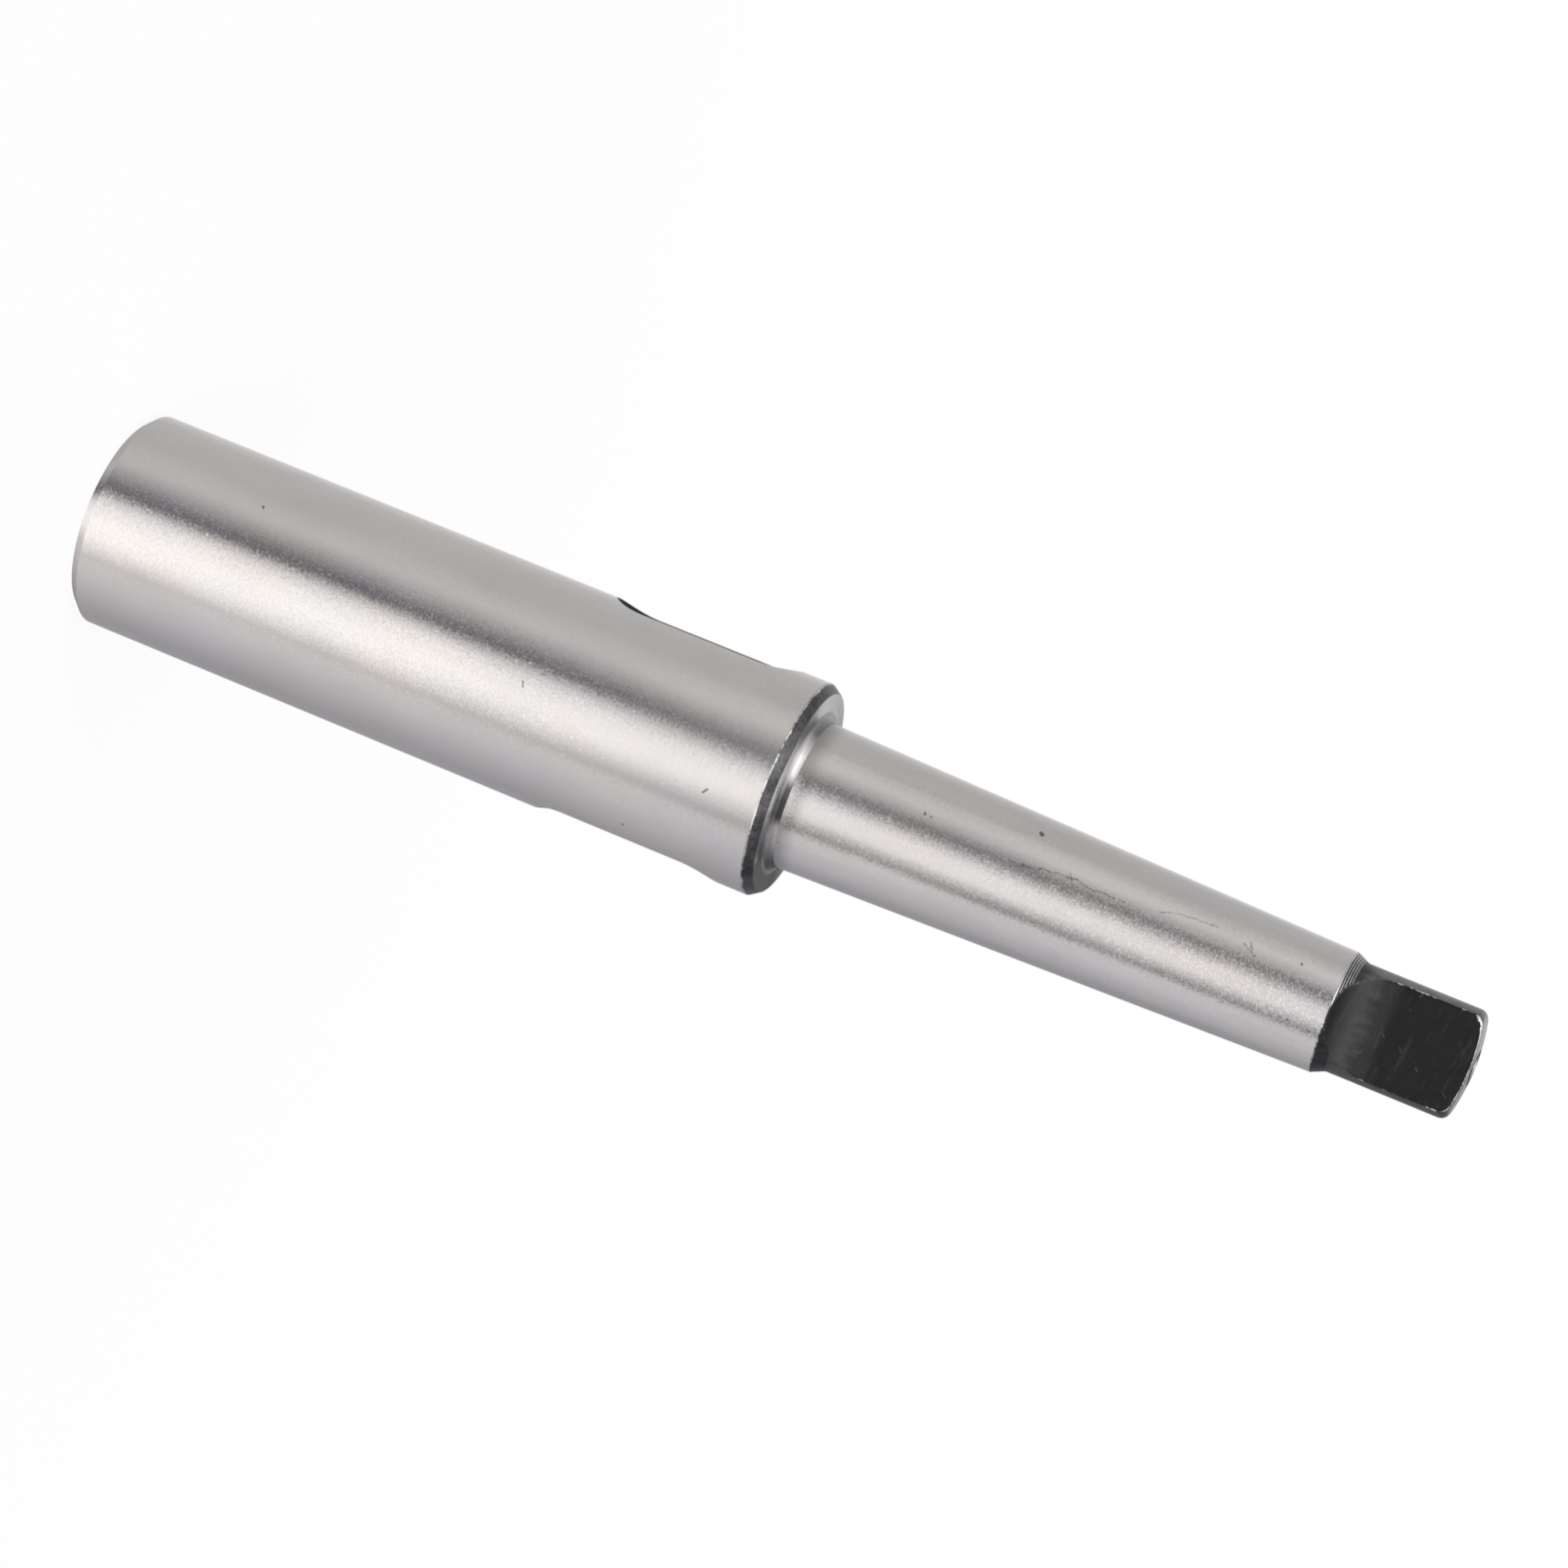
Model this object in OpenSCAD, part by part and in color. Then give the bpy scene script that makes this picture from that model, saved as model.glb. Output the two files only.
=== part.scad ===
/* [Body] */
// Outer diameter of the body
body_d = 26.5; // [24:0.5:40]
// Length of the body from the mouth face to the shoulder
body_l = 89.8; // [88:0.2:140]
// Chamfer round the mouth end, the same along and across
mouth_chamfer = 1.2; // [0.4:0.1:2]
// Chamfer at the shoulder, along the axis
shoulder_chamfer_l = 1.1; // [0.4:0.1:2]
// Chamfer at the shoulder, across the radius
shoulder_chamfer_h = 0.8; // [0.3:0.1:1.5]

/* [Taper shank] */
// Diameter of the shank at its gauge plane
shank_gauge_d = 17.78; // [17.4:0.01:19.6]
// Distance from the shoulder to the gauge plane
gauge_gap = 5; // [3:0.5:7]
// Length over which a taper loses one unit of diameter, for shank and socket
taper_ratio = 20.02; // [19:0.002:24]
// Length of the tapered shank from the shoulder to its small end
shank_l = 67.2; // [56:0.2:76]
// Fillet between the shoulder and the root of the shank
root_fillet = 1; // [0.4:0.1:1.6]

/* [Tang] */
// Turned diameter of the tang
tang_d = 13.2; // [11:0.1:13.6]
// Length of the tang from the small end of the shank to its crowned tip
tang_l = 16.9; // [14:0.1:24]
// Thickness of the tang over its two flats
tang_t = 6; // [5:0.1:8]
// Straight length of the flats, back from the tip
flat_l = 10; // [6:0.2:12]
// Radius that the milling cutter leaves where each flat runs out
cutter_r = 7.5; // [5:0.5:9]
// Chamfer from the small end of the shank down to the tang, along the axis
neck_chamfer_l = 1.3; // [0.8:0.1:2.5]
// Fillet at the foot of that chamfer
neck_fillet = 1; // [0.4:0.1:2]
// Radius of the crown on the tip
crown_r = 25; // [15:1:60]
// Rounding of the corner between the crown and the turned side
corner_r = 1.2; // [0.4:0.1:2]
// Mouth diameter of the centre hole in the tip
centre_d = 4.4; // [3:0.1:5]
// Diameter of the pilot drilling of the centre hole
centre_pilot_d = 2; // [1:0.1:2.5]
// Depth of the pilot drilling from the tip
centre_pilot_l = 5; // [4.5:0.1:8]

/* [Taper socket] */
// Diameter of the socket at the mouth face
socket_d = 17.78; // [16.8:0.01:19]
// Diameter of the plain bore at the bottom of the socket
relief_d = 14.9; // [13.6:0.1:16]
// Depth of the socket from the mouth face to the end of the plain bore
socket_l = 67; // [64:0.5:78]
// Chamfer on the edge of the socket's mouth
lip_chamfer = 0.5; // [0.2:0.1:1]

/* [Drift slot] */
// Width of the slot, across the flats of the tang
slot_w = 9; // [6:0.1:10]
// Length of the slot along the axis, over its rounded ends
slot_l = 24; // [18:0.2:25]
// Distance from the mouth face to the start of the slot
slot_start = 61; // [58:0.2:62]

/* [Hidden] */
$fn = 96;
// How far a cutting shape stands past the face that it opens
past = 1;
// Full angle of the tip of the socket drill, and of the cone of a centre drill
drill_angle = 118;
centre_angle = 60;

body_r = body_d / 2;
tang_r = tang_d / 2;
shank_end_z = body_l + shank_l;
tip_z = shank_end_z + tang_l;
shank_root_r = (shank_gauge_d + gauge_gap / taper_ratio) / 2;
shank_end_r = shank_root_r - shank_l / taper_ratio / 2;
// Depth at which the tapered socket has narrowed to the plain bore
socket_taper_l = (socket_d - relief_d) * taper_ratio;

// Centres of the crown and of the corner rounding that blends into it
crown_centre = [0, tip_z - crown_r];
corner_reach = crown_r - corner_r;
corner_rise = sqrt(pow(corner_reach, 2) - pow(tang_r - corner_r, 2));
corner_centre = crown_centre + [tang_r - corner_r, corner_rise];
// Angle at which the crown hands over to the corner rounding
crown_edge = atan2(corner_rise, tang_r - corner_r);

// Points along an arc, from angle a to angle b
function arc(centre, r, a, b, steps) =
    [for (i = [0:steps]) centre + r * [cos(a + (b - a) * i / steps), sin(a + (b - a) * i / steps)]];

// Points of an inside fillet at a corner whose two edges leave it at angles a and b
function fillet(corner, a, b, r, steps) =
    let (half = (b - a) / 2)
    let (centre = corner + r / sin(half) * [cos(a + half), sin(a + half)])
    arc(centre, r, a - 90, b - 270, steps);

// Outline of a slot with round ends, its start at the origin, along Y
module round_ended(width, length) {
    translate([-width / 2, width / 2]) square([width, length - width]);
    translate([0, width / 2]) circle(width / 2);
    translate([0, length - width / 2]) circle(width / 2);
}

// The turned blank in one revolve: body, tapered shank, neck and crowned tang
module blank() {
    shank_lean = atan2(shank_root_r - shank_end_r, shank_l);
    neck = [tang_r, shank_end_z + neck_chamfer_l];
    neck_lean = atan2(-neck_chamfer_l, shank_end_r - tang_r);
    rotate_extrude() polygon(concat(
        [
            [0, 0],
            [body_r - mouth_chamfer, 0],
            [body_r, mouth_chamfer],
            [body_r, body_l - shoulder_chamfer_l],
            [body_r - shoulder_chamfer_h, body_l]
        ],
        fillet([shank_root_r, body_l], 0, 90 + shank_lean, root_fillet, 8),
        [[shank_end_r, shank_end_z]],
        fillet(neck, neck_lean, 90, neck_fillet, 3),
        arc(corner_centre, corner_r, 0, crown_edge, 6),
        arc(crown_centre, crown_r, crown_edge, 90, 6)
    ));
}

// Tapered socket with its lip chamfer, plain bore and drill point
module socket() {
    lip_r = socket_d / 2 + lip_chamfer;
    point_l = relief_d / 2 / tan(drill_angle / 2);
    rotate_extrude() polygon([
        [0, -past],
        [lip_r + past, -past],
        [lip_r - lip_chamfer, lip_chamfer],
        [relief_d / 2, socket_taper_l],
        [relief_d / 2, socket_l],
        [0, socket_l + point_l]
    ]);
}

// Slot right through the body, for the wedge that drives a tool out
module drift_slot() {
    translate([-body_r - past, 0, slot_start])
        rotate([90, 0, 90]) linear_extrude(body_d + 2 * past) round_ended(slot_w, slot_l);
}

// What the cutter takes off each side of the tang, with its round run-out
module milled_flats() {
    for (side = [-1, 1])
        translate([-body_r, side * (tang_t / 2 + cutter_r), tip_z - flat_l - cutter_r])
            rotate([90, 0, 90]) linear_extrude(body_d) round_ended(2 * cutter_r, flat_l + 3 * cutter_r);
}

// Centre hole in the tip: a countersink and its pilot drilling
module centre_hole() {
    cone_l = (centre_d - centre_pilot_d) / 2 / tan(centre_angle / 2);
    slope = tan(centre_angle / 2);
    translate([0, 0, tip_z]) rotate([180, 0, 0]) {
        cylinder(h = centre_pilot_l, d = centre_pilot_d);
        translate([0, 0, -past]) cylinder(h = cone_l + past, d1 = centre_d + 2 * past * slope, d2 = centre_pilot_d);
    }
}

// The sleeve, turned, bored and milled from one bar of steel
module sleeve() {
    color("silver") difference() {
        blank();
        socket();
        drift_slot();
        milled_flats();
        centre_hole();
    }
}

sleeve();
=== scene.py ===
import math

import bmesh
import bpy
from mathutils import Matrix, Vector


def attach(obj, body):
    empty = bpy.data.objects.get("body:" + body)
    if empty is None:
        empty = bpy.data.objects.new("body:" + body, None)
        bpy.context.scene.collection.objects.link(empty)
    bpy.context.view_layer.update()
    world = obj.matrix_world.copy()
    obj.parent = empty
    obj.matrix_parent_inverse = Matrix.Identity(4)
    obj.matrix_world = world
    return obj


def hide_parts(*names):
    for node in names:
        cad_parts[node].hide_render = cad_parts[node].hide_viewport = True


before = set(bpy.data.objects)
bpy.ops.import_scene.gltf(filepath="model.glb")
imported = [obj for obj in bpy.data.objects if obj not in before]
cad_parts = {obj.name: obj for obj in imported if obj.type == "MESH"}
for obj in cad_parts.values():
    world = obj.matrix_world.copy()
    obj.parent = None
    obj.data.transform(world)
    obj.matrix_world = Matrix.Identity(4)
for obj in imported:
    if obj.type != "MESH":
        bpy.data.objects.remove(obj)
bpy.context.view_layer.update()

# The blank. The sleeve is turned from one bar of steel: a thick body, a slimmer
# tapered shank, a neck that the lathe left in rough rings, and a short crowned tang.
# Its other end is bored to the same taper. It stands here on the mouth of that bore.
mm = 0.001
sides = 256
body_radius, body_length = 13.245, 89.8
mouth_chamfer = 1.2
shoulder_chamfer_along, shoulder_chamfer_across = 1.1, 0.8
root_radius, small_radius, shank_end = 9.0149, 7.3365, 157.0
root_fillet = 1.0
ring_pitch, ring_fall = 0.28, 0.129
foot_z, foot_fillet = 158.72, 1.0
tang_radius, tip = 6.6, 173.9
crown, corner = 25.0, 1.2
hole, hole_lip, pilot = 2.2, 0.12, 1.0
sink_step, sink_fall = 0.45, 0.2598
socket_radius, relief_radius, socket_depth = 8.89, 7.45, 67.0
lip_chamfer, taper_ratio, taper_end = 0.5, 20.02, 57.66
cone_step, cone_fall = 1.119, 1.8625


def turn_to(z, radius):
    """Draws the selected ring of edges out to the next height and radius."""
    here = bpy.context.object
    here.update_from_editmode()
    ring = [v.co for v in here.data.vertices if v.select]
    at_z = sum(v.z for v in ring) / len(ring)
    at_radius = math.hypot(ring[0].x, ring[0].y)
    bpy.ops.mesh.extrude_edges_move(TRANSFORM_OT_translate={"value": (0, 0, z * mm - at_z)})
    size = radius * mm / at_radius
    bpy.ops.transform.resize(value=(size, size, 1), center_override=(0, 0, z * mm))


def along_arc(centre_z, centre_radius, size, start, end, steps):
    """Heights and radii along an arc; angles are in degrees from the outward radius."""
    for i in range(steps + 1):
        a = math.radians(start + (end - start) * i / steps)
        yield centre_z + size * math.sin(a), centre_radius + size * math.cos(a)


lip_radius = socket_radius + lip_chamfer
bpy.ops.object.select_all(action="DESELECT")
bpy.ops.mesh.primitive_circle_add(vertices=sides, radius=lip_radius * mm, fill_type="NOTHING")
sleeve = bpy.context.object
sleeve.name = sleeve.data.name = "sleeve_steel"
bpy.ops.object.mode_set(mode="EDIT")
bpy.ops.mesh.select_mode(type="EDGE")
bpy.ops.mesh.select_all(action="SELECT")

# mouth face, mouth chamfer with its edges a little rounded, and the ground body
turn_to(0, body_radius - mouth_chamfer - 0.12)
for z, radius in along_arc(0.17, body_radius - mouth_chamfer - 0.07, 0.17, -75, -45, 2):
    turn_to(z, radius)
for z, radius in along_arc(mouth_chamfer + 0.14, body_radius - 0.24, 0.24, -40, 0, 3):
    turn_to(z, radius)
for z in (4, 10, 18, 28, 38, 48, 58, 70, 80, 86):
    turn_to(z, body_radius)

# shoulder chamfer with a sharp burr at its lower edge, and the shoulder faced in rings
burr = body_length - shoulder_chamfer_along
rim = body_radius - shoulder_chamfer_across
turn_to(burr - 0.1, body_radius)
turn_to(burr - 0.02, body_radius - 0.02)
turn_to(burr + 0.06, body_radius - 0.09)
turn_to(burr + 0.22, body_radius - 0.2)
turn_to(body_length - 0.09, rim + 0.06)
turn_to(body_length - 0.02, rim - 0.01)
turn_to(body_length, rim - 0.09)
for i in range(7):
    radius = rim - 0.3 - 0.3 * i
    turn_to(body_length - 0.004, radius)
    turn_to(body_length - 0.007, radius - 0.1)
    turn_to(body_length - 0.004, radius - 0.2)

# root fillet and the ground taper of the shank
lean = math.atan2(root_radius - small_radius, shank_end - body_length)
fillet_centre = root_radius + root_fillet * (1 / math.cos(lean) - math.tan(lean))
fillet_end = 180 + math.degrees(lean)


def shank_radius(z):
    """Radius of the tapered shank at this height."""
    return root_radius - (z - body_length) * math.tan(lean)


for z, radius in along_arc(body_length + root_fillet, fillet_centre, root_fillet, 270, fillet_end, 10):
    turn_to(z, radius)
for z in (92, 96, 102, 110, 118, 126, 134, 142, 150, 155, 156.6, shank_end - 0.09):
    turn_to(z, shank_radius(z))

# neck: the rough-turned chamfer in four rings, its hollow foot, and the tang's round,
# with its edge loops closer together where the flats will run out
turn_to(shank_end - 0.03, small_radius - 0.015)
turn_to(shank_end + 0.03, small_radius - 0.05)
for i in range(4):
    z, radius = shank_end + 0.11 + ring_pitch * i, small_radius - 0.087 - ring_fall * i
    turn_to(z, radius - 0.01)
    turn_to(z + 0.09, radius - 0.08)
    turn_to(z + 0.18, radius - 0.07)
for z, radius in along_arc(foot_z, tang_radius + foot_fillet, foot_fillet, 212, 180, 6):
    turn_to(z, radius)
z = 158.9
while z < 172.0:
    turn_to(z, tang_radius)
    z += 0.16 if z < 164.2 else 0.24

# rounded corner and crown of the tip
crown_z = tip - crown
rise = math.sqrt((crown - corner) ** 2 - (tang_radius - corner) ** 2)
hand_over = math.degrees(math.atan2(rise, tang_radius - corner))
for z, radius in along_arc(crown_z + rise, tang_radius - corner, corner, 0, hand_over, 12):
    turn_to(z, radius)
for i in range(1, 13):
    radius = 5.2 - 0.24 * i
    turn_to(crown_z + math.sqrt(crown ** 2 - radius ** 2), radius)

# centre hole in the tip, left from turning between centres
for z, radius in along_arc(tip - 0.097 - hole_lip, hole + hole_lip, hole_lip, 80, 190, 4):
    turn_to(z, radius)
for i in range(1, 5):
    turn_to(tip - 0.25 - sink_step * i, hole - 0.02 - sink_fall * i)
turn_to(tip - 2.15, pilot)
turn_to(tip - 5.0, pilot)
turn_to(tip - 5.3, pilot / 2)
bpy.ops.mesh.merge(type="CENTER")

# the bore: lip, ground taper, plain bore and the cone of the drill at its end
bpy.ops.mesh.select_all(action="DESELECT")
mesh = bmesh.from_edit_mesh(sleeve.data)
for edge in mesh.edges:
    edge.select_set(len(edge.link_faces) == 1)
mesh.select_flush_mode()
bmesh.update_edit_mesh(sleeve.data)
turn_to(lip_chamfer, socket_radius - 0.025)
for z in (1, 12, 24, 36, 48, 57.2):
    turn_to(z, socket_radius - z / taper_ratio / 2)
turn_to(taper_end, relief_radius)
turn_to(socket_depth, relief_radius)
for i in range(1, 4):
    turn_to(socket_depth + cone_step * i, relief_radius - cone_fall * i)
bpy.ops.mesh.merge(type="CENTER")
bpy.ops.mesh.select_all(action="SELECT")
bpy.ops.mesh.normals_make_consistent(inside=False)
bpy.ops.object.mode_set(mode="OBJECT")

# The tang's flats. A cutter of 15 mm mills each side of the tang down to 6 mm
# over all and runs out through the neck in its own radius. Use has rounded and rubbed
# the edges bright, and the crests of the neck's rings and the burr at the shoulder too.
half_tang, flat_foot, cutter = 3.0, 163.9, 7.5
rings_start, rings_end, wear_start = shank_end + 0.2, shank_end + 1.18, shank_end + 1.6
tip_start, tip_fall = tip - 1.8, 0.16
burr_wear, burr_foot_wear, shank_rim_wear, edge_wear, crest_wear = 1.05, 0.6, 0.87, 0.84, 0.8
worn = sleeve.data.attributes.new("worn_edge", "FLOAT", "POINT")
milled = sleeve.data.attributes.new("milled", "FLOAT", "POINT")


def held(number):
    """The number, held between 0 and 1."""
    return min(1, max(0, number))


for v in sleeve.data.vertices:
    x, y, z = v.co / mm
    radius = math.hypot(x, y)
    if radius > 12 and abs(z - burr) < 0.1:
        worn.data[v.index].value = burr_wear if z < burr else burr_foot_wear
    if abs(z - shank_end) < 0.05 and radius > 7:
        worn.data[v.index].value = shank_rim_wear
    if z < shank_end - 0.2 or radius < hole + 0.05:
        continue
    depth = half_tang
    if z < flat_foot:
        reach = flat_foot - z
        if reach >= cutter:
            continue
        depth += cutter - math.sqrt(cutter ** 2 - reach ** 2)
    gap = abs(y) - depth
    soft = 0.24 + 0.12 * held((z - 160) / 8)
    milled.data[v.index].value = held(0.5 + gap / 0.3)
    on_crest = abs((z - shank_end - 0.15) / ring_pitch % 1 - 0.5) < 0.1
    if gap > -soft:
        blend = max(0, soft - abs(gap)) / soft
        pressed = min(abs(y), depth) - blend * blend * soft / 4
        v.co.y = math.copysign(pressed * mm, y)
        worn.data[v.index].value = edge_wear * blend if z > wear_start else 0.0
    elif rings_start < z < rings_end and on_crest:
        worn.data[v.index].value = crest_wear
    if z > tip_start:
        fall = held((gap + 0.75) / 0.75)
        v.co.z -= tip_fall * fall * fall * mm
        from_corner = x * math.copysign(1, -y) + tang_radius
        width = 0.3 if gap < 0 else 1.3 if from_corner < 2.4 else 0.4
        rubbed = max(0, 1 - abs(gap) / width)
        rubbed *= 0.8 if from_corner > 8.0 else 1.0
        worn.data[v.index].value = max(worn.data[v.index].value, rubbed)

# The drift slot. It is milled right through the body, round at both ends, and opens
# on the end of the bore, so that a wedge can drive a tool out. Its rim is deburred.
slot_width, slot_length, slot_start = 9.0, 24.0, 61.0
bar_length = 30
bpy.ops.object.select_all(action="DESELECT")
bpy.ops.mesh.primitive_circle_add(vertices=96, radius=slot_width / 2 * mm, fill_type="NGON")
cutter_bar = bpy.context.object
bpy.ops.object.mode_set(mode="EDIT")
bpy.ops.mesh.select_all(action="DESELECT")
mesh = bmesh.from_edit_mesh(cutter_bar.data)
for v in mesh.verts:
    v.select_set(v.co.x > 0.0001)
mesh.select_flush_mode()
bmesh.update_edit_mesh(cutter_bar.data)
bpy.ops.transform.translate(value=((slot_length - slot_width) * mm, 0, 0))
bpy.ops.mesh.select_all(action="SELECT")
bpy.ops.mesh.extrude_region_move(TRANSFORM_OT_translate={"value": (0, 0, bar_length * mm)})
bpy.ops.mesh.select_all(action="SELECT")
bpy.ops.mesh.normals_make_consistent(inside=False)
bpy.ops.object.mode_set(mode="OBJECT")
cutter_bar.rotation_euler = (0, -math.pi / 2, 0)
cutter_bar.location = (bar_length / 2 * mm, 0, (slot_start + slot_width / 2) * mm)
bpy.ops.object.transform_apply(location=True, rotation=True, scale=True)
bpy.ops.object.select_all(action="DESELECT")
bpy.context.view_layer.objects.active = sleeve
sleeve.select_set(True)
cut = sleeve.modifiers.new("drift slot", "BOOLEAN")
cut.operation, cut.solver, cut.object = "DIFFERENCE", "EXACT", cutter_bar
bpy.ops.object.modifier_apply(modifier=cut.name)
bpy.data.objects.remove(cutter_bar)

bpy.ops.object.mode_set(mode="EDIT")
bpy.ops.mesh.select_all(action="SELECT")
bpy.ops.mesh.remove_doubles(threshold=0.002 * mm)
bpy.ops.mesh.select_all(action="DESELECT")
mesh = bmesh.from_edit_mesh(sleeve.data)
for edge in mesh.edges:
    outside = all(math.hypot(v.co.x, v.co.y) > (body_radius - 0.02) * mm for v in edge.verts)
    bent = len(edge.link_faces) == 2 and edge.calc_face_angle() > 0.6
    by_slot = slot_start - 1 < edge.verts[0].co.z / mm < slot_start + slot_length + 1
    edge.select_set(outside and bent and by_slot)
mesh.select_flush_mode()
bmesh.update_edit_mesh(sleeve.data)
bpy.ops.mesh.bevel(offset=0.15 * mm, offset_type="OFFSET", segments=2, affect="EDGES", clamp_overlap=True)
bpy.ops.object.mode_set(mode="OBJECT")

# Each face takes the finish of the tool that made it, and the ground faces take the
# true normals of the cylinder and the cone, so that no facet shows in their shine.
GROUND, TURNED, BLACK = range(3)
lean_out, lean_up = math.cos(lean), math.sin(lean)
bpy.ops.object.shade_smooth_by_angle(angle=math.radians(32))
normals = [list(normal.vector) for normal in sleeve.data.corner_normals]
for face in sleeve.data.polygons:
    x, y, z = face.center / mm
    radius = math.hypot(x, y)
    outward = (face.normal.x * x + face.normal.y * y) / max(radius, 0.01)
    along_body = mouth_chamfer < z < burr
    along_shank = body_length + root_fillet < z < shank_end - 0.05
    on_body = along_body and outward > 0.99 and radius > body_radius - 0.01
    on_shank = along_shank and outward > 0.99 and abs(radius - shank_radius(z)) < 0.01
    in_socket = radius < socket_radius + 0.01 and z < taper_end + 0.04 and outward < -0.9
    on_mouth_chamfer = 0.03 < z < mouth_chamfer + 0.3 and radius > 12
    on_shoulder = body_length - 0.008 < z < body_length + root_fillet + 0.05 and radius > 7
    if on_body or on_shank or in_socket or on_mouth_chamfer:
        face.material_index = GROUND
    elif z < 0.6 or on_shoulder:
        face.material_index = TURNED
    else:
        face.material_index = BLACK
    if on_body or on_shank or on_mouth_chamfer:
        for loop in face.loop_indices:
            v = sleeve.data.vertices[sleeve.data.loops[loop].vertex_index].co
            out = Vector((v.x, v.y, 0)).normalized()
            if on_shank:
                out = out * lean_out + Vector((0, 0, lean_up))
            elif v.z < (mouth_chamfer + 0.1) * mm and on_mouth_chamfer:
                out = out - Vector((0, 0, 0.33))
            normals[loop] = list(out.normalized())
sleeve.data.normals_split_custom_set(normals)


# The finishes. The body, the shank and the socket are ground bright, the shoulder and
# the mouth face are as the lathe left them, and all the rest was left black.
class Wire:
    """A socket of a finish while it is worked out. Sums on it add Math nodes."""

    def __init__(self, tree, socket=None):
        self.tree, self.socket = tree, socket

    def add(self, kind, settings=None, sockets=None, out=0):
        """Adds a node: first its settings, then the values or links of its sockets."""
        node = self.tree.nodes.new(kind)
        for name, value in (settings or {}).items():
            if name == "stops":
                ends = node.color_ramp.elements
                for spare in range(len(value) - 2):
                    ends.new(0.5)
                for end, (place, colour) in zip(ends, value):
                    end.position = place
                for end, (place, colour) in zip(ends, value):
                    end.color = (*colour, 1)
            else:
                setattr(node, name, value)
        for name, value in (sockets or {}).items():
            if isinstance(value, Wire):
                self.tree.links.new(value.socket, node.inputs[name])
            else:
                node.inputs[name].default_value = value
        outputs = node.outputs
        return Wire(self.tree, outputs[out]) if len(outputs) else None

    def maths(self, operation, *values):
        return self.add("ShaderNodeMath", {"operation": operation}, dict(enumerate(values)))

    def __add__(self, other):
        return self.maths("ADD", self, other)

    def __sub__(self, other):
        return self.maths("SUBTRACT", self, other)

    def __rsub__(self, other):
        return self.maths("SUBTRACT", other, self)

    def __mul__(self, other):
        return self.maths("MULTIPLY", self, other)

    def __truediv__(self, other):
        return self.maths("DIVIDE", self, other)

    __radd__, __rmul__ = __add__, __mul__

    def rise(self, low, high):
        """0 below low, 1 above high, with a soft step between; it falls where low is higher."""
        if low > high:
            return 1 - self.rise(high, low)
        sockets = {"Value": self, "From Min": low, "From Max": high}
        return self.add("ShaderNodeMapRange", {"interpolation_type": "SMOOTHSTEP"}, sockets)

    def by_angle(self, stops, top):
        """A number by this angle: stops are pairs of degrees and numbers, none over top."""
        ramp = [((angle + 180) / 360, (number / top,) * 3) for angle, number in stops]
        return self.add("ShaderNodeValToRGB", {"stops": ramp}, {0: (self + 180) / 360}) * top

    def blend(self, first, second):
        """A colour between two, by this value."""
        first, second = [(*c, 1) if isinstance(c, tuple) else c for c in (first, second)]
        return self.add("ShaderNodeMix", {"data_type": "RGBA"}, {0: self, 6: first, 7: second}, 2)

    def shades(self, colour):
        """A colour made darker or lighter by this value."""
        return self.add("ShaderNodeVectorMath", {"operation": "SCALE"}, {0: colour, "Scale": self})

    def noise(self, detail=2.0, roughness=0.5):
        """Noise at this place, with features one unit wide."""
        sockets = {"Vector": self, "Scale": 1.0, "Detail": detail, "Roughness": roughness}
        return self.add("ShaderNodeTexNoise", {}, sockets)


class Finish:
    """A finish on the sleeve, with the places on it in millimetres."""

    def __init__(self, name):
        self.material = bpy.data.materials.new(name)
        self.material.use_nodes = True
        tree = self.material.node_tree
        self.steel = tree.nodes["Principled BSDF"]
        self.bench = Wire(tree)
        place = self.bench.add("ShaderNodeTexCoord", out="Object")
        self.x, self.y, self.z = (
            self.bench.add("ShaderNodeSeparateXYZ", {}, {0: place}, axis) * (1 / mm) for axis in range(3)
        )
        self.radius = self.bench.maths("SQRT", self.x * self.x + self.y * self.y)
        self.across, self.forth = self.x / self.radius, self.y / self.radius
        self.angle = self.bench.maths("ARCTAN2", self.x, 0 - self.y) * (180 / math.pi)

    def place(self, x, y, z):
        return self.bench.add("ShaderNodeCombineXYZ", {}, {0: x, 1: y, 2: z})

    def even(self, per_mm, lift=0.0):
        """Places for a pattern that is the same in every direction."""
        return self.place(self.x * per_mm, self.y * per_mm, self.z * per_mm + lift)

    def turned(self, around, along):
        """Places for a pattern that lies round the axis, with features of these sizes."""
        k = body_radius / around
        return self.place(self.across * k, self.forth * k, (self.z + self.radius * 0.35) * (1 / along))

    def finish(self, **sockets):
        for name, value in sockets.items():
            socket = self.steel.inputs[name.replace("_", " ")]
            if isinstance(value, Wire):
                self.material.node_tree.links.new(value.socket, socket)
            else:
                socket.default_value = value
        sleeve.data.materials.append(self.material)


def jitter(finish, sideways, lengthways):
    """The normal, turned a little round the axis and along it."""
    normal = finish.bench.add("ShaderNodeNewGeometry", out="Normal")
    offset = finish.place(finish.forth * sideways * -1, finish.across * sideways, lengthways)
    bent = finish.bench.add("ShaderNodeVectorMath", {"operation": "ADD"}, {0: normal, 1: offset})
    return finish.bench.add("ShaderNodeVectorMath", {"operation": "NORMALIZE"}, {0: bent})


def line(across, along, start, end, width):
    """1 on a scratch between two places, in millimetres across and along, and 0 beside it."""
    run, climb = end[0] - start[0], end[1] - start[1] + 0.001
    u, v = across - start[0], along - start[1]
    part = (u * run + v * climb) / (run ** 2 + climb ** 2)
    part = across.maths("MINIMUM", across.maths("MAXIMUM", part, 0.0), 1.0)
    u, v = u - part * run, v - part * climb
    return across.maths("SQRT", u * u + v * v).rise(width, width * 0.35)


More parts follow.
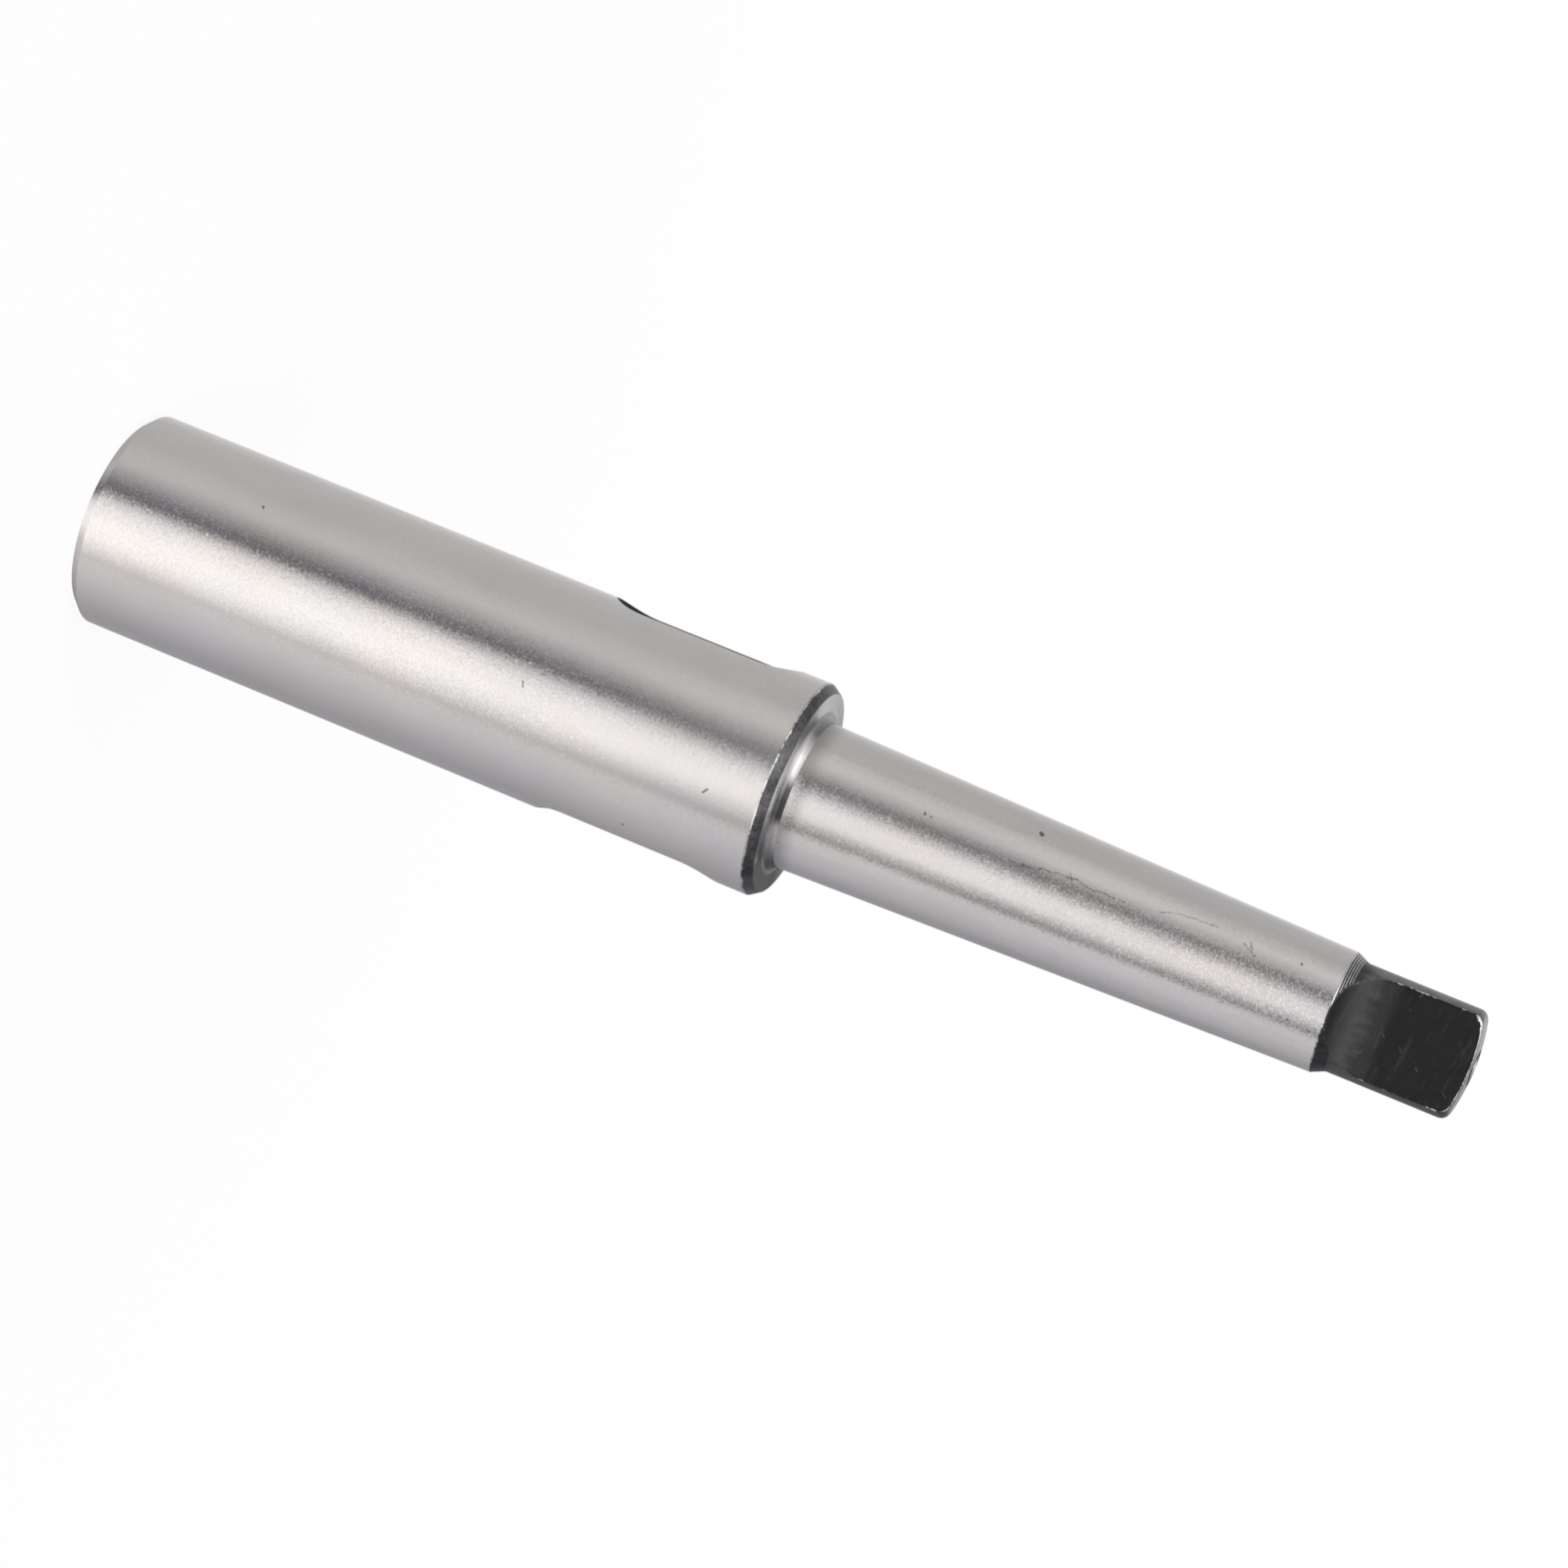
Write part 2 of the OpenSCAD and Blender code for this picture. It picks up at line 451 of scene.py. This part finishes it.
def lines(across, along, marks):
    """All the scratches of a list, each with its start, its end and its width."""
    return sum(line(across, along, *mark) for mark in marks)


# ground steel: fine grinding marks run round the axis, coarser towards the shoulder, with
# a few pits, and on the shank the lines and scratches that pushing it home has drawn
grains_per_mm, mid_shank_radius = 3.8, 8.0
body_pits = [
    ((-8.2, 19.8), (-8.05, 19.9), 0.2), ((12.6, 73.5), (12.65, 73.5), 0.22),
    ((3.7, 82.1), (3.14, 82.5), 0.17), ((-0.35, 57.6), (0.3, 57.85), 0.12),
]
shank_pits = [
    ((-7.2, 118.9), (-6.85, 119.1), 0.36), ((-3.45, 106.0), (-3.3, 106.1), 0.2),
    ((-3.35, 106.8), (-3.3, 106.9), 0.15), ((-4.3, 152.1), (-4.2, 152.2), 0.17),
    ((2.7, 153.0), (2.85, 153.1), 0.14), ((3.1, 155.6), (3.2, 155.8), 0.15),
]
shank_scratches = [
    ((-2.24, 117.7), (-2.55, 120.7), 0.16), ((-2.55, 120.7), (-3.1, 123.8), 0.12),
    ((-3.1, 123.8), (-2.8, 128.0), 0.15), ((-2.8, 128.0), (-2.8, 131.7), 0.13),
    ((-3.4, 135.1), (-4.3, 138.4), 0.13), ((-4.3, 138.4), (-4.6, 141.9), 0.12),
    ((-3.7, 124.0), (-2.4, 124.8), 0.11), ((-3.8, 145.3), (-3.0, 147.0), 0.17),
    ((-4.4, 145.9), (-3.6, 146.4), 0.14),
]
ground = Finish("ground_steel")
speckle = ground.even(grains_per_mm).noise(1.0, 0.7) - 0.5
grains = ground.even(grains_per_mm, 40).noise(1.0, 0.7) - 0.5
streak = ground.turned(2.0, 0.26).noise(2.0) - 0.5
patches = ground.turned(5.0, 12.0).noise(3.0) - 0.5
wander = ground.turned(1.1, 1.1).noise(2.0) - 0.5
drawn = ground.place(ground.across * 10.0, ground.forth * 10.0, ground.z * 0.03).noise(2.0) - 0.5
towards_shoulder = ground.z.rise(50.0, 88.0) * ground.z.rise(90.0, 89.6)
on_shank = ground.z.rise(89.6, 90.2)
root = ground.z.rise(93.0, 90.7) * on_shank
rough = towards_shoulder + 0.6 * on_shank
round_body = ground.angle * (math.radians(1) * body_radius)
round_shank = ground.angle * (math.radians(1) * mid_shank_radius) + 0.8 * wander
pits = lines(round_body, ground.z, body_pits) + lines(round_shank, ground.z, shank_pits) * on_shank
scratches = lines(round_shank, ground.z, shank_scratches) * on_shank
bright_nick = line(round_shank, ground.z, (2.65, 98.0), (2.74, 98.0), 0.16)
shade = 1.0 + 0.15 * patches + 0.14 * speckle + 0.12 * rough * streak + 0.12 * on_shank * drawn
# painted shade: the shank is darker towards its root by the shoulder; the mouth chamfer is a little
# darker too
shade = shade * (1 - 0.08 * ground.z.rise(1.5, 1.1)) * (1 - 0.42 * ground.z.rise(93.5, 90.7) * on_shank)
shade = shade * (1 - 0.75 * pits) * (1 - (0.36 + 1.6 * speckle) * scratches) + 0.5 * bright_nick
warmth = ground.turned(11.0, 14.0).noise(2.0).rise(0.4, 0.62)
colour = warmth.blend((0.616, 0.600, 0.604), (0.632, 0.604, 0.588))
sideways = speckle * (0.045 + 0.035 * on_shank + 3.0 * speckle * speckle) + 0.04 * rough * streak
lengthways = grains * (0.06 * on_shank + 0.8 * grains * grains) + 0.12 * root
ground.finish(
    Base_Color=shade.shades(colour),
    Metallic=1.0,
    Roughness=0.17 + 0.06 * rough + 0.04 * patches + 0.06 * root + (0.7 - 0.5 * rough) * grains,
    Anisotropic=0.3,
    Anisotropic_Rotation=0.25,
    Normal=jitter(ground, sideways, lengthways),
)

# turned steel: the faced shoulder with its fillet and the mouth face, in fine rings, with painted
# highlights and painted shade in fans round the axis, painted shade on one side of the shoulder and in a
# pocket of the fillet
# painted highlights and painted shade by angle round the axis, on the face and in the fillet
face_painted_fans = [
    (-180, 0.6), (-120, 0.72), (-90, 0.76), (-70, 0.92), (-59, 0.82), (-52, 0.46), (-46, 0.62),
    (-40, 0.62), (-34, 0.7), (-28, 1.08), (-16, 0.88), (-10, 1.2), (-4, 1.52), (2, 1.33),
    (14, 1.3), (20, 1.7), (26, 0.95), (38, 0.74), (44, 0.46), (51, 0.12), (110, 0.12),
    (150, 0.5), (180, 0.6),
]
fillet_painted_fans = [
    (-180, 0.6), (-90, 0.5), (-64, 0.45), (-52, 0.6), (-46, 1.0), (-38, 1.5), (-28, 1.8),
    (-16, 1.35), (-8, 1.1), (0, 0.8), (8, 0.42), (17, 0.45), (25, 0.75), (34, 1.1), (44, 1.2),
    (56, 0.7), (68, 0.28), (80, 0.1), (130, 0.3), (180, 0.6),
]
turned = Finish("turned_steel")
rings = turned.place(turned.across * 1.5, turned.forth * 1.5, turned.radius * 8.0).noise(2.0) - 0.5
cloud = turned.turned(3.0, 3.0).noise(3.0) - 0.5
fillet = turned.radius.rise(10.3, 9.9) * turned.z.rise(80.0, 81.0)
painted_fans = turned.angle.by_angle(face_painted_fans, 2) * (1 - fillet) + turned.angle.by_angle(fillet_painted_fans, 2) * fillet
# painted shade: one side of the shoulder face is made darker and less metallic
painted_shade_side = turned.angle.rise(42.0, 54.0) * turned.angle.rise(150.0, 110.0) * (1 - fillet)
# painted shade in a pocket of the fillet, by the shank's root
fillet_painted_shade = turned.angle.rise(-15.0, -1.0) * turned.angle.rise(30.0, 20.0) * turned.z.rise(89.85, 90.3)
shade = (0.9 + 0.6 * rings + 0.5 * cloud) * painted_fans * (1 - 0.85 * fillet_painted_shade)
turned.finish(
    Base_Color=shade.shades((0.525, 0.515, 0.525)),
    Metallic=1 - 0.9 * painted_shade_side,
    Roughness=0.34 + 0.2 * cloud + 0.06 * fillet,
    Specular_IOR_Level=0.01,
    Anisotropic=0.6,
    Anisotropic_Rotation=0.25,
)

# blackened steel: what was turned keeps a dark shine, what was milled is dull black, with
# a painted grey sheen where the cutter ran out, and the bare metal shows where an edge is worn
flat_nicks = [
    ((0.0, 163.05), (0.42, 163.45), 0.1), ((3.04, 160.8), (3.1, 161.6), 0.09),
    ((3.04, 161.6), (2.75, 161.7), 0.09), ((2.3, 168.0), (2.55, 168.3), 0.13),
    ((3.76, 171.9), (4.1, 172.3), 0.1), ((0.75, 165.45), (1.3, 165.8), 0.08),
    ((-5.3, 165.45), (-5.65, 165.65), 0.12), ((-3.6, 164.9), (-3.4, 165.15), 0.07),
]
black = Finish("blackened_steel")
cloud = black.turned(1.5, 1.5).noise(3.0)
grit = black.turned(0.3, 0.3).noise(1.0)
flakes = black.even(2.2).noise(3.0, 0.6)
stretch = black.even(0.45, 3.1).noise(1.0) - 0.5
milled, worn = [
    black.bench.add("ShaderNodeAttribute", {"attribute_name": name}, out="Fac")
    for name in ("milled", "worn_edge")
]
round_neck = black.z.rise(155.0, 156.0) * black.z.rise(160.0, 158.6)
milled = black.bench.maths("MAXIMUM", milled, black.z.rise(88.5, 88.3))
milled = (milled + (0.95 - 0.55 * round_neck) * (grit - 0.5)).rise(0.3, 0.6)

# where the black is rubbed off: more on the burr and on the crown, less beside the neck
# on one side, and in one nick on the neck
kept = black.x.rise(-4.6, -3.4) * black.z.rise(162.4, 161.4) * black.z.rise(157.1, 157.3)
neck_nick = line(black.x, black.z, (1.1, 157.4), (1.25, 157.6), 0.12)
bare = 0.9 * worn + 1.3 * flakes + 1.3 * stretch
bare = bare + 0.2 * black.z.rise(172.0, 173.0) - 0.5 * kept + 0.15 * black.z.rise(100.0, 99.0)
bare = (bare + 0.9 * neck_nick).rise(1.36, 1.5)

# the milled flats: a painted grey sheen with a toothed, streaky edge where the cutter ran out, faint
# wisps and a few nicks
comb = black.place(black.x * 4.0, black.y * 0.5, black.z * 0.6).noise(2.0) - 0.5
teeth = black.place(black.x * 0.9, black.y * 0.5, 0.0).noise(1.0) - 0.5
# painted sheen where the flats run out and tilt up, with a toothed edge of tool marks
run_out_sheen = (black.z + 1.3 * comb + 2.0 * teeth).rise(161.9, 159.7)
run_out_sheen = run_out_sheen * (0.2 + 0.8 * black.z.rise(157.4, 159.8))
wisps = black.place(black.x * 0.35 + black.z * 0.1, black.y * 0.5, black.z * 2.0 + black.x * 0.15)
wisps = wisps.noise(2.0, 0.6).rise(0.54, 0.74)
nicks = lines(black.x, black.z, flat_nicks) * (0 - black.y).rise(0.0, 0.5)
dull = 0.006 + 0.005 * (cloud - 0.5) + 0.036 * run_out_sheen + 0.01 * wisps + 0.06 * grit * nicks

# the turned faces: mottled, with a painted highlight on the crown and a painted sheen on one side,
# painted shade in the centre hole, and painted highlights on the worn crests of the neck's rings on that
# side too, with painted shade on the rings of the other side
crowned = black.z.rise(172.7, 173.3)
# painted shade in the centre hole
hole_shade = black.radius.rise(2.25, 2.1) * crowned
on_rings = black.z.rise(155.0, 156.0) * black.z.rise(158.8, 158.4)
lit_side = black.angle.rise(-6.0, -18.0)
# the crown term here is a painted highlight
shiny = 0.104 + 0.16 * (cloud - 0.5) + 0.12 * (grit - 0.5) * (1 - 0.5 * round_neck) + 0.16 * crowned
shiny = shiny * (1 - 0.9 * hole_shade) * (1 - 0.35 * round_neck)
# painted sheen on one side of the tang
shiny = shiny + 0.14 * cloud * black.angle.rise(-20.0, -60.0) * black.z.rise(158.5, 161.0)
# the worn crests of the neck's rings get a painted highlight on the lit side, and the rings on the other
# side get painted shade
crests = worn * on_rings * lit_side * (0.4 + 1.2 * grit)
shiny = shiny * (1 - 0.3 * on_rings * (1 - lit_side)) + 0.6 * crests
dark = milled.blend(black.place(shiny, shiny * 0.98, shiny * 1.03), black.place(dull, dull, dull * 1.05))
black.finish(
    Base_Color=bare.blend(dark, (0.72, 0.70, 0.69)),
    Metallic=1 - milled * (1 - bare),
    Roughness=0.38 + 0.2 * (cloud - 0.5),
    Specular_IOR_Level=0.15,
)

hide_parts("sleeve")
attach(sleeve, "root")

# The camera. It looks a little down at the sleeve from over half a metre away through a
# long lens, and is rolled, so that the standing sleeve lies across the picture.
camera_data = bpy.data.cameras.new("camera")
camera = bpy.data.objects.new("camera", camera_data)
bpy.context.scene.collection.objects.link(camera)
camera.location = (-0.019958, -0.571534, 0.213918)
camera.rotation_euler = (-1.042967, -1.128768, 2.622256)
camera_data.lens, camera_data.sensor_width = 115.6, 36
bpy.context.scene.camera = camera
bpy.context.scene.view_settings.view_transform = "Standard"

# The studio, which the steel mirrors: a bright window right of the camera fades to a dark
# post on its right, with a dark gap on its left. Each list gives azimuths and radiances,
# for what shines from low down, from camera height, from above it, and from the lamps.
low_walls = [
    (-180, 0.85), (-160, 0.76), (-143, 0.69), (-90, 0.66), (-62, 0.75), (-54, 0.66), (-41, 0.42),
    (-29, 0.20), (-24, 0.24), (-20, 0.62), (-12, 1.16), (-4, 1.40), (12, 1.58), (27, 1.52),
    (36, 1.30), (45, 1.05), (50, 0.82), (52.5, 0.92), (64, 0.87), (80, 0.76), (98, 0.64),
    (112, 0.55), (131, 0.465), (150, 0.43), (172, 0.38), (180, 0.85),
]
facing_walls = [
    (-180, 0.85), (-163, 0.78), (-140, 0.65), (-104, 0.63), (-90, 0.62), (-70, 0.80), (-57, 0.87),
    (-51, 0.76), (-44, 0.64), (-38, 0.52), (-31, 0.29), (-25, 0.25), (-19, 0.36), (-13, 0.56),
    (-6, 0.90), (0, 1.12), (12, 1.18), (22, 1.16), (28, 0.98), (35, 0.73), (42, 0.46), (48, 0.32),
    (52, 0.46), (55.5, 0.82), (62, 0.88), (77, 0.83), (86, 0.76), (105, 0.65), (130, 0.46),
    (150, 0.40), (172, 0.38), (180, 0.85),
]
upper_walls = [
    (-180, 0.95), (-150, 0.9), (-125, 0.55), (-105, 0.42), (-82, 0.75), (-60, 1.0), (-30, 1.6),
    (-12, 3.4), (4, 3.9), (30, 3.9), (52, 0.8), (72, 0.40), (110, 0.34), (164, 0.30), (171, 0.9),
    (180, 0.95),
]
lamps = [
    (-180, 0.95), (-150, 1.05), (-118, 0.62), (-92, 0.72), (-74, 1.60), (-52, 2.60), (-20, 1.35),
    (0, 0.60), (16, 0.20), (30, 0.16), (60, 0.40), (110, 0.46), (140, 0.50), (160, 0.50),
    (180, 0.95),
]
brightest, swing = 4, 2.0
overhead, underfoot = 1.1, 0.6
world = bpy.data.worlds.new("studio")
bpy.context.scene.world = world
world.use_nodes = True
room = Wire(world.node_tree)
direction = room.add("ShaderNodeTexCoord", out="Generated")
dx, dy, dz = (room.add("ShaderNodeSeparateXYZ", {}, {0: direction}, axis) for axis in range(3))
around = room.maths("ARCTAN2", dx, 0 - dy) * (180 / math.pi)
strength = (around - swing).by_angle(low_walls, brightest)
for band, start, end in ((facing_walls, -0.27, -0.20), (upper_walls, 0.08, 0.18), (lamps, 0.64, 0.8)):
    level = dz.rise(start, end)
    strength = strength * (1 - level) + (around - swing).by_angle(band, brightest) * level
window_bar = dz.rise(-0.12, -0.03) * dz.rise(0.16, 0.08)
window_bar = window_bar * around.rise(-22.0, -8.0) * around.rise(54.0, 44.0)
strength = strength * (1 - 0.32 * window_bar)
up = dz.rise(0.93, 0.98)
down = dz.rise(-0.96, -0.99)
strength = strength * (1 - up) * (1 - down) + overhead * up + underfoot * down


def seen(wire):
    """1 for what the camera sees, straight or through something clear, and 0 for light."""
    straight = wire.add("ShaderNodeLightPath", out="Is Camera Ray")
    through = wire.add("ShaderNodeLightPath", out="Is Transmission Ray")
    return wire.maths("MAXIMUM", straight, through)


# the dim walls and the right of the room are a little cooler, and the backdrop is white
plain = seen(room)
strength = strength * (1 - plain) + plain
cool = strength.rise(0.6, 0.25) + 0.6 * around.rise(52.0, 78.0) * around.rise(172.0, 150.0)
tint = cool.rise(0.0, 1.0).blend((1.008, 1.0, 0.99), (1.0, 0.985, 1.045))
tint = plain.blend(tint, (1, 1, 1))
background = world.node_tree.nodes["Background"]
world.node_tree.links.new(tint.socket, background.inputs[0])
world.node_tree.links.new(strength.socket, background.inputs[1])

# The floor, a sheet of white paper. It looks all but white from the camera, with a trace
# of the sleeve's shadow near it. It is clear to the steel, which mirrors the studio.
bpy.ops.object.select_all(action="DESELECT")
bpy.ops.mesh.primitive_circle_add(vertices=96, radius=30.0, fill_type="NGON")
floor = bpy.context.object
floor.name = "floor"
paper = bpy.data.materials.new("floor_paper")
paper.use_nodes = True
paper.node_tree.nodes.clear()
sheet = Wire(paper.node_tree)
place = sheet.add("ShaderNodeTexCoord", out="Object")
away = sheet.add("ShaderNodeVectorMath", {"operation": "LENGTH"}, {0: place}, "Value").rise(0.08, 0.4)
pale = sheet.add("ShaderNodeBsdfDiffuse", {}, {"Color": (0.85, 0.85, 0.85, 1)})
white = sheet.add("ShaderNodeEmission", {}, {"Strength": 1.0})
clear = sheet.add("ShaderNodeBsdfTransparent")
mirrored = sheet.add("ShaderNodeLightPath", out="Is Glossy Ray")
look = sheet.add("ShaderNodeMixShader", {}, {0: seen(sheet) * (0.9 + 0.1 * away), 1: pale, 2: white})
look = sheet.add("ShaderNodeMixShader", {}, {0: mirrored, 1: look, 2: clear})
sheet.add("ShaderNodeOutputMaterial", {}, {0: look})
floor.data.materials.append(paper)
paper.cycles.emission_sampling = "NONE"
